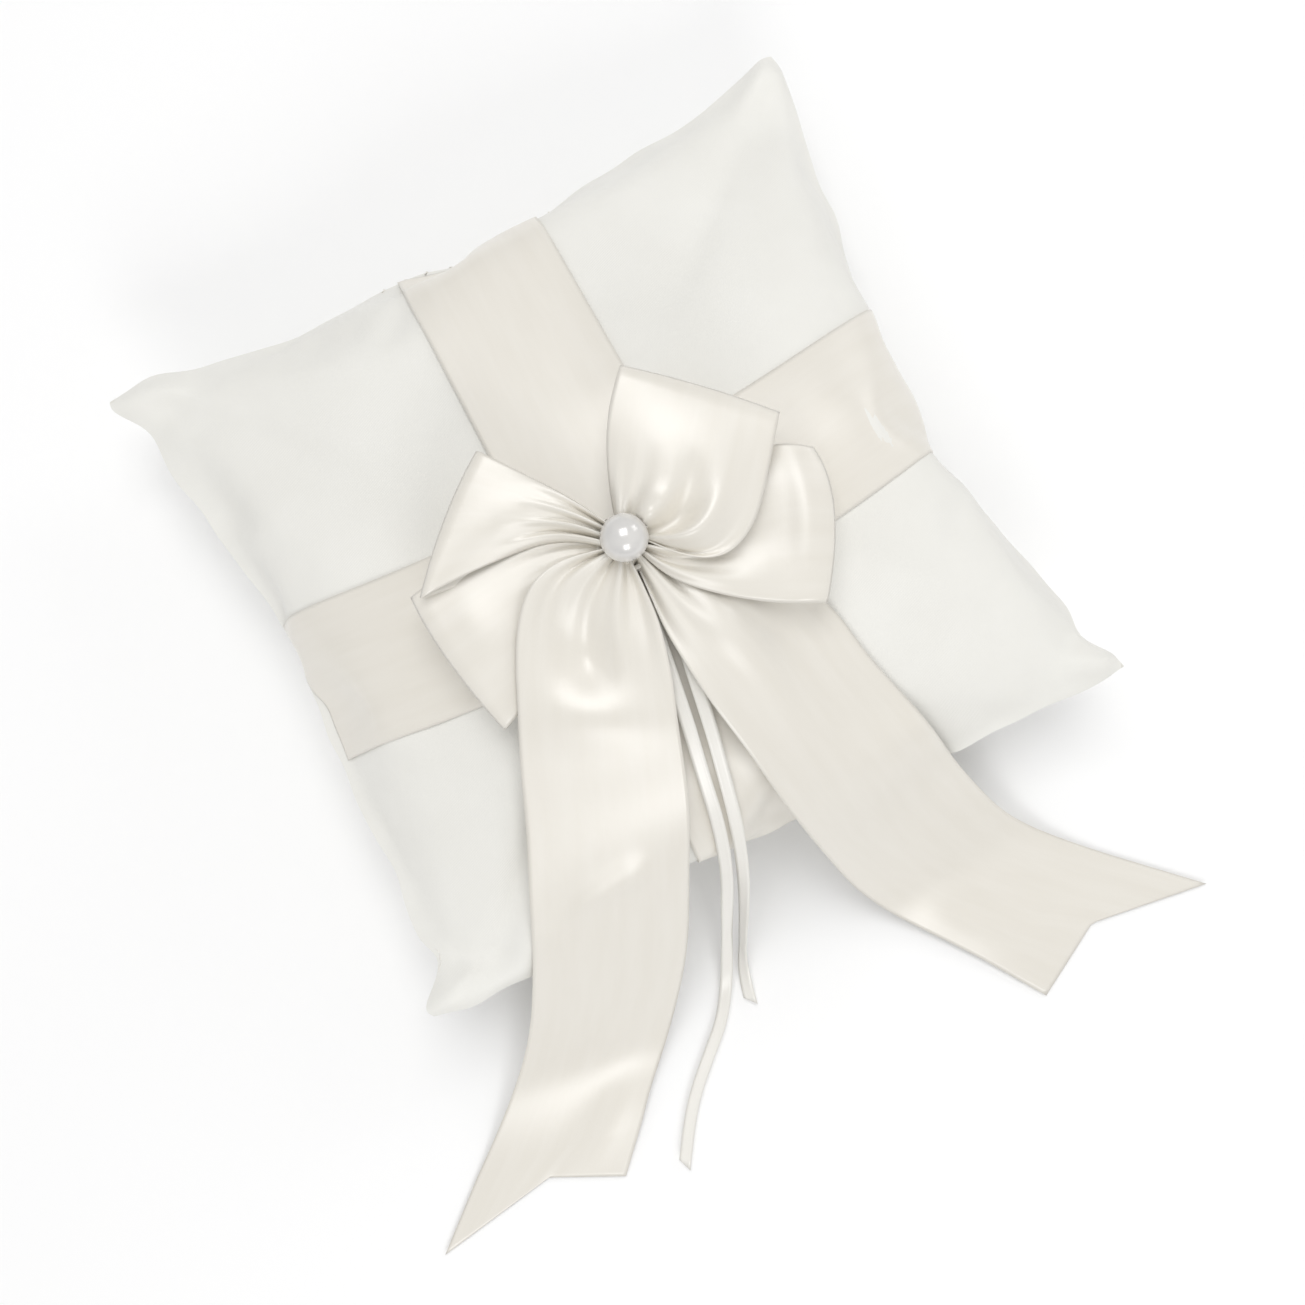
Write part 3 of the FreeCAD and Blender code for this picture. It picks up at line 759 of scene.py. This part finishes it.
def make_loop(name, node, first, second, crease, drop, puff, pleat, slack=0.5, bumps=()):
    """Ribbon out from the knot underneath, over a pressed crease, and back on top.
    first and second are the upper layer's two edges from the knot to the crease, crease is the
    crease's middle, and drop is how far the lower layer leaves the knot below the upper one."""
    spread = 1 - (1 - np.linspace(0, 1, LAYER_ROWS)) ** 1.5
    edge_a = spline_through(np.array(first, float) * MM, EDGE_POINTS)
    edge_b = spline_through(np.array(second, float) * MM, EDGE_POINTS)
    bow = np.array(crease, float) * MM - (edge_a[-1] + edge_b[-1]) / 2
    count, phase, height = pleat
    upper = np.zeros((LAYER_ROWS, GRID_ACROSS, 3))
    under = np.zeros((LAYER_ROWS, GRID_ACROSS, 3))
    for i, t in enumerate(spread):
        near = max(0.0, 1 - t / 0.66) ** 1.5
        at = t * (EDGE_POINTS - 1)
        k = min(int(at), EDGE_POINTS - 2)
        a, b = between(edge_a[k], edge_a[k + 1], at - k), between(edge_b[k], edge_b[k + 1], at - k)
        roll = FOLD * math.sqrt(max(0.0, 1 - max(0.0, (t - 0.93) / 0.07) ** 2))
        for j, share in enumerate(ACROSS):
            outwards = bow * (4 * share * (1 - share)) * t ** 1.5
            p = between(a, b, share) + outwards
            straight = between(between(edge_a[0], edge_b[0], share),
                               between(edge_a[-1], edge_b[-1], share), t)
            straight += outwards
            gather = pleats(share, near, count, phase, height * MM)
            arch = puff * MM * math.sin(math.pi * share) * math.sin(math.pi * min(1.0, t * 1.02)) ** 0.8
            dents = sum(tall * MM * bump_at(t, share, at_t, at_share, wide_t, wide_share)
                        for at_t, at_share, wide_t, wide_share, tall in bumps)
            below = between(p, straight, slack)
            tuck = (height * MM * (1 - t) ** 1.3
                    * (1.1 + math.cos(2 * math.pi * (count * share + phase) + 2.6)))
            below[2] = (min(p[2] + dents, straight[2]) + gather - roll - drop * MM * (1 - t)
                        - 0.4 * arch - tuck)
            p[2] += arch + gather + dents + roll
            upper[i, j], under[i, j] = p, below
    outward = unit(upper[-1, GRID_ACROSS // 2] - upper[0, GRID_ACROSS // 2])
    outward[2] = 0
    nose = (upper[-1] + under[-1]) / 2 + outward * NOSE
    grid = np.concatenate([under[:-1], nose[None], upper[-2::-1]])
    grid = under_pearl(seat(grid.reshape(-1, 3), LOOP_LIFT)).reshape(grid.shape)
    obj = strip(name, grid, SATIN, smooth=0)
    settle(obj)
    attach(obj, "pillow")
    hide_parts(node)
    return obj


make_loop("loop_top_ribbon", "bow_loop_top",
          [(0.0, -5.5, 79.6), (1.2, -1, 81.0), (4.5, 8, 83.0), (10.5, 18.5, 84.5), (17, 26, 84.6)],
          [(3.8, -10.5, 79.2), (10, -17.5, 78.6), (18.5, -22, 78.4), (26, -20, 79.5), (33.5, -13, 81.8),
           (44, 0, 83.6)],
          (30.8, 13.4, 85.0), 1.2, 3.0, (3.3, 0.5, 2.4),
          bumps=((0.26, 0.40, 0.12, 0.10, 3.4), (0.34, 0.76, 0.2, 0.08, 3.0), (0.40, 0.58, 0.18, 0.09, -2.8),
                 (0.28, 0.18, 0.2, 0.12, -1.6)))
make_loop("loop_right_ribbon", "bow_loop_right",
          [(4.0, -9.0, 78.0), (14, -8, 76.5), (28, -5, 76.0), (40, -4.5, 76.6), (48, -9, 77.0)],
          [(2.2, -13, 77.6), (5, -19.5, 76.6), (12, -27.5, 75.2), (21, -34.5, 74.0), (28, -38.8, 73.6),
           (34.5, -42, 73.6)],
          (45.6, -24.0, 76.4), 1.6, 1.6, (3.2, 0.1, 2.2),
          bumps=((0.5, 0.62, 0.2, 0.16, -2.4), (0.5, 0.25, 0.25, 0.14, 1.2), (0.88, 0.5, 0.07, 0.5, 1.2)))
make_loop("loop_upper_left_ribbon", "bow_loop_upper_left",
          [(-3.8, -8.5, 78.2), (-9, -4.4, 77.7), (-15, -1.2, 77.0), (-26, 0.6, 76.6), (-36, 1.0, 77.2),
           (-46.5, 0.8, 78.2)],
          [(-1.0, -5.2, 79.2), (-5.5, 3, 79.8), (-12, 13, 80.4), (-20, 24.5, 80.2)],
          (-33.2, 14.2, 80.0), 1.4, 2.2, (3.3, 0.62, 2.4),
          bumps=((0.35, 0.92, 0.25, 0.1, 1.4), (0.4, 0.35, 0.2, 0.2, -1.2)))
make_loop("loop_lower_left_ribbon", "bow_loop_lower_left",
          [(-3.4, -11.5, 76.0), (-14, -18, 73.6), (-28, -27, 70.6), (-43.5, -33.5, 68.9)],
          [(-4.0, -7, 75.6), (-15, 1.0, 75.0), (-31, 4.5, 74.2), (-48.5, 3, 73.8)],
          (-47.6, -13.5, 72.6), 1.0, 1.4, (3.2, 0.2, 1.3), bumps=((0.8, 0.5, 0.12, 0.3, 0.8),))


# ---------------------------------------------------------------- knot

WAIST = 0.0051           # radius of the bundle where the thread binds it


def make_gather():
    """Pinched bundle under the pearl, its pleats drawn in at the waist by the binding thread."""
    low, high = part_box("bow_gather")
    around, levels = 72, 13
    verts, faces = [], []
    for k in range(levels):
        h = k / (levels - 1)
        waist = WAIST + (0.0019 if h < 0.5 else -0.0005) * (2 * h - 1) ** 2
        for a in range(around):
            angle = 2 * math.pi * a / around
            fold = 1 + 0.07 * math.cos(11 * angle + 0.6) + 0.04 * math.cos(17 * angle + 2.1)
            r = waist * (1 + (fold - 1) * (0.4 + 1.2 * abs(2 * h - 1)))
            verts.append((r * math.cos(angle), KNOT.y + r * math.sin(angle),
                          low.z + (high.z - low.z) * h))
    for k in range(levels - 1):
        for a in range(around):
            b = (a + 1) % around
            faces.append((k * around + a, k * around + b,
                          (k + 1) * around + b, (k + 1) * around + a))
    for k, z, flip in ((0, low.z, True), (levels - 1, high.z, False)):
        centre = len(verts)
        verts.append((0, KNOT.y, z))
        for a in range(around):
            b = (a + 1) % around
            ring = (k * around + a, k * around + b)
            faces.append((ring[1], ring[0], centre) if flip else (*ring, centre))
    obj = mesh_object("gather_pleats", verts, faces, SATIN)
    layer = obj.data.uv_layers.new(name="Cloth")
    for loop in obj.data.loops:
        p = obj.data.vertices[loop.vertex_index].co
        layer.data[loop.index].uv = (p.z - (low.z + high.z) / 2, math.atan2(p.y - KNOT.y, p.x) * 0.006)
    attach(obj, "pillow")
    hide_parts("bow_gather")


make_gather()

# ---------------------------------------------------------------- ring ties

TIE_LONG = [(-1, -20, 71.4), (-2.5, -29, 71.8), (-4.2, -40, 71.7), (-6, -52, 69.6), (-8.2, -64, 64.6),
            (-10, -76, 56.5), (-13, -87, 42.0), (-17, -96, 25.5), (-21, -105, 10.5), (-25.5, -114, 2.1),
            (-31, -122, 1.7), (-39, -129, 1.7), (-46.5, -136, 1.7), (-52, -143, 1.7), (-57, -150.5, 1.7)]
TIE_SHORT = [(4, -19, 71.5), (2.6, -30, 71.8), (0.4, -42, 71.4), (-1.5, -54, 68.9), (-3.8, -66, 63.4),
             (-6, -77, 55.5), (-9, -88, 40.0), (-12.5, -97, 23.5), (-17, -106, 9.0), (-20.5, -114, 2.4),
             (-22, -121, 1.7)]


def route_points(points):
    """Points along the smooth line that has the route's points as its control points."""
    curve = bpy.data.curves.new("route", "CURVE")
    curve.dimensions = "3D"
    curve.resolution_u = 10
    spline = curve.splines.new("NURBS")
    spline.points.add(len(points) - 1)
    for place, (x, y, z) in zip(spline.points, points):
        place.co = (x * MM, y * MM, z * MM, 1)
    spline.order_u = 3
    spline.use_endpoint_u = True
    obj = bpy.data.objects.new("route", curve)
    scene.collection.objects.link(obj)
    graph = bpy.context.evaluated_depsgraph_get()
    mesh = bpy.data.meshes.new_from_object(obj.evaluated_get(graph), depsgraph=graph)
    line = np.array([v.co for v in mesh.vertices])
    bpy.data.objects.remove(obj)
    bpy.data.meshes.remove(mesh)
    return line


def make_tie(name, node, points, twist):
    """Narrow flat ribbon along a route, cut on the slant, turned about its own line by twist,
    pairs of the share of its length and an angle in degrees."""
    line = route_points(points)
    along = np.gradient(line, axis=0)
    flatwise = unit(np.cross(np.broadcast_to(UP, line.shape), along))
    normal = unit(np.cross(along, flatwise))
    travel = distances(line)
    angles = np.radians(np.interp(travel / travel[-1], *zip(*twist)))[:, None]
    side = flatwise * np.cos(angles) + normal * np.sin(angles)
    columns = 5
    grid = np.stack([line + side * (w * TIE_WIDTH / 2) for w in np.linspace(-1, 1, columns)], axis=1)
    heading = unit(along[-1])
    for j, w in enumerate(np.linspace(-1, 1, columns)):
        grid[-1, j] += heading * 0.0012 * w
    grid[..., 2] = np.maximum(grid[..., 2], TABLE_GAP)
    obj = strip(name, grid, TIE_SATIN_PAINTED_LIGHTER, widths=np.linspace(-0.5, 0.5, columns) * TIE_WIDTH,
                smooth=0)
    settle(obj)
    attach(obj, "pillow")
    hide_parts(node)


make_tie("tie_long_ribbon", "ring_tie_long", TIE_LONG, [(0, 0), (0.45, 12), (0.62, -30), (0.75, 8), (1, 0)])
make_tie("tie_short_ribbon", "ring_tie_short", TIE_SHORT,
         [(0, 0), (0.4, -10), (0.7, 35), (0.88, 60), (1, 10)])

# ---------------------------------------------------------------- threads

STITCH_R = 0.00022
FINE_THREAD_R = 0.00013
STITCH_PITCH = 0.0028
SEAM_REACH = 0.84        # share of each side that is stitched
SEAM_INSET = 0.0013
CLOSING_STITCHES = 9
CLOSING_PITCH = 0.0052


def thread_tube(line, radius, sides=6):
    """Vertices and faces of a closed tube along a line."""
    along = unit(np.gradient(line, axis=0))
    across = unit(np.cross(along, np.array([0.13, 0.21, 0.97])))
    other = np.cross(along, across)
    turns = np.arange(sides) * 2 * math.pi / sides
    verts = [p + radius * (math.cos(a) * u + math.sin(a) * v)
             for p, u, v in zip(line, across, other) for a in turns]
    n = len(line)
    faces = [(i * sides + a, i * sides + (a + 1) % sides,
              (i + 1) * sides + (a + 1) % sides, (i + 1) * sides + a)
             for i in range(n - 1) for a in range(sides)]
    faces += [tuple(range(sides))[::-1], tuple((n - 1) * sides + a for a in range(sides))]
    return verts, faces


def join_tubes(name, lines, radius, material):
    verts, faces = [], []
    for line in lines:
        more, joined = thread_tube(np.asarray(line), radius)
        faces += [tuple(len(verts) + i for i in face) for face in joined]
        verts += more
    return mesh_object(name, verts, faces, material)


def side_of_seam(side, axis, share):
    """Point of the seam along one side, share -1 to 1 between its corners."""
    track = seam_sides[axis, side]
    at = (share + 1) / 2 * (len(track) - 1)
    i = min(int(at), len(track) - 2)
    return between(track[i], track[i + 1], at - i)


def make_seam_stitches():
    lines = []
    for axis in ("x", "y"):
        for side in (-1, 1):
            track = seam_sides[axis, side]
            total = np.linalg.norm(np.diff(track, axis=0), axis=1).sum()
            count = int(total / STITCH_PITCH)
            for i in range(count):
                start = SEAM_REACH * (2 * (i + 0.15) / count - 1)
                end = SEAM_REACH * (2 * (i + 0.85) / count - 1)
                points = np.array([side_of_seam(side, axis, s) for s in np.linspace(start, end, 4)])
                centre = np.array([0, 0, SEAM_Z])
                lines.append(points + unit(centre - points) * SEAM_INSET)
    obj = join_tubes("seam_stitching", lines, STITCH_R * 0.8, THREAD)
    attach(obj, "pillow")
    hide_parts("seam_thread")


def make_closing_stitches():
    lines = []
    for i in range(CLOSING_STITCHES):
        share = (i - CLOSING_STITCHES // 2) * CLOSING_PITCH / HALF_SIDE
        at = side_of_seam(1, "y", share)
        lean = 0.0007 * (1 if i % 2 else -1)
        lines.append([at + np.array([-lean, -0.0006, -0.0009]), at + np.array([0, 0.0001, 0]),
                      at + np.array([lean, -0.0006, 0.0009])])
    obj = join_tubes("closing_ladder", lines, STITCH_R, THREAD)
    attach(obj, "pillow")
    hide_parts("closing_stitches")


def make_pearl_thread():
    """Fine thread that comes out of the pearl's bore each side and goes down beside the pearl."""
    lines = []
    for side in (-1, 1):
        lines.append([(side * x * MM, PEARL.y, z * MM) for x, z in
                      ((4.6, 84.5), (5.5, 84.45), (5.72, 84.0), (5.65, 82.6), (5.1, 81.0), (4.2, 78.8))])
    obj = join_tubes("pearl_sewing", lines, FINE_THREAD_R, THREAD)
    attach(obj, "pillow")
    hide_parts("pearl_thread")


make_seam_stitches()
make_closing_stitches()
make_pearl_thread()

# ---------------------------------------------------------------- CAD pieces that stay

for name, material in (("pearl_bead", NACRE), ("bow_binding", THREAD),
                       ("bow_tack_stitches", THREAD)):
    piece = bpy.data.objects[name]
    for place in piece.material_slots:
        place.material = material


# ---------------------------------------------------------------- camera, light and floor

CAMERA_AZIMUTH = math.radians(-27.5)
CAMERA_ELEVATION = math.radians(84)
CAMERA_AT = Vector((-0.0249, -0.0705, 0.4676))
SENSOR = 36.0
LENS = 47.95
# Name, place, size and power of each soft light
LIGHTS = (("overhead", (0.10, 0.34, 1.25), 0.7, 5.8),
          ("front", (-0.25, -1.0, 0.75), 0.5, 3.3),
          ("side", (1.05, 0.25, 0.6), 0.45, 1.1))
SURROUND = 0.59
FLOOR_HALF = 3.0


def make_camera():
    a, e = CAMERA_AZIMUTH, CAMERA_ELEVATION
    back = Vector((math.sin(a) * math.cos(e), -math.cos(a) * math.cos(e), math.sin(e)))
    right = Vector((math.cos(a), math.sin(a), 0))
    data = bpy.data.cameras.new("camera")
    data.sensor_width, data.lens = SENSOR, LENS
    data.clip_start = 0.01
    obj = bpy.data.objects.new("camera", data)
    scene.collection.objects.link(obj)
    turned = Matrix((right, back.cross(right), back)).transposed().to_4x4()
    obj.matrix_world = Matrix.Translation(CAMERA_AT) @ turned
    scene.camera = obj


def area_light(name, place, size, power):
    data = bpy.data.lights.new(name, "AREA")
    data.shape, data.size, data.energy = "SQUARE", size, power
    obj = bpy.data.objects.new(name, data)
    scene.collection.objects.link(obj)
    obj.location = place
    obj.rotation_euler = (-Vector(place)).to_track_quat("-Z", "Y").to_euler()


def make_stage():
    material, tree, shader = principled("floor_white", (0.97, 0.97, 0.97), 0.9)
    grain = node(tree, "ShaderNodeTexNoise", Scale=3.0)
    place = node(tree, "ShaderNodeTexCoord")
    tree.links.new(place.outputs["Object"], grain.inputs["Vector"])
    tint(tree, shader, grain.outputs["Fac"], (0.966, 0.966, 0.966), (0.974, 0.974, 0.974))
    corners = [(x * FLOOR_HALF, y * FLOOR_HALF, 0) for x, y in ((-1, -1), (1, -1), (1, 1), (-1, 1))]
    floor = mesh_object("floor", corners, [(0, 1, 2, 3)], material)
    world = bpy.data.worlds.new("studio")
    world.use_nodes = True
    world.node_tree.nodes["Background"].inputs["Color"].default_value = (1, 1, 1, 1)
    world.node_tree.nodes["Background"].inputs["Strength"].default_value = SURROUND
    scene.world = world
    scene.view_settings.view_transform = "Standard"
    for light in LIGHTS:
        area_light(*light)


make_camera()
make_stage()
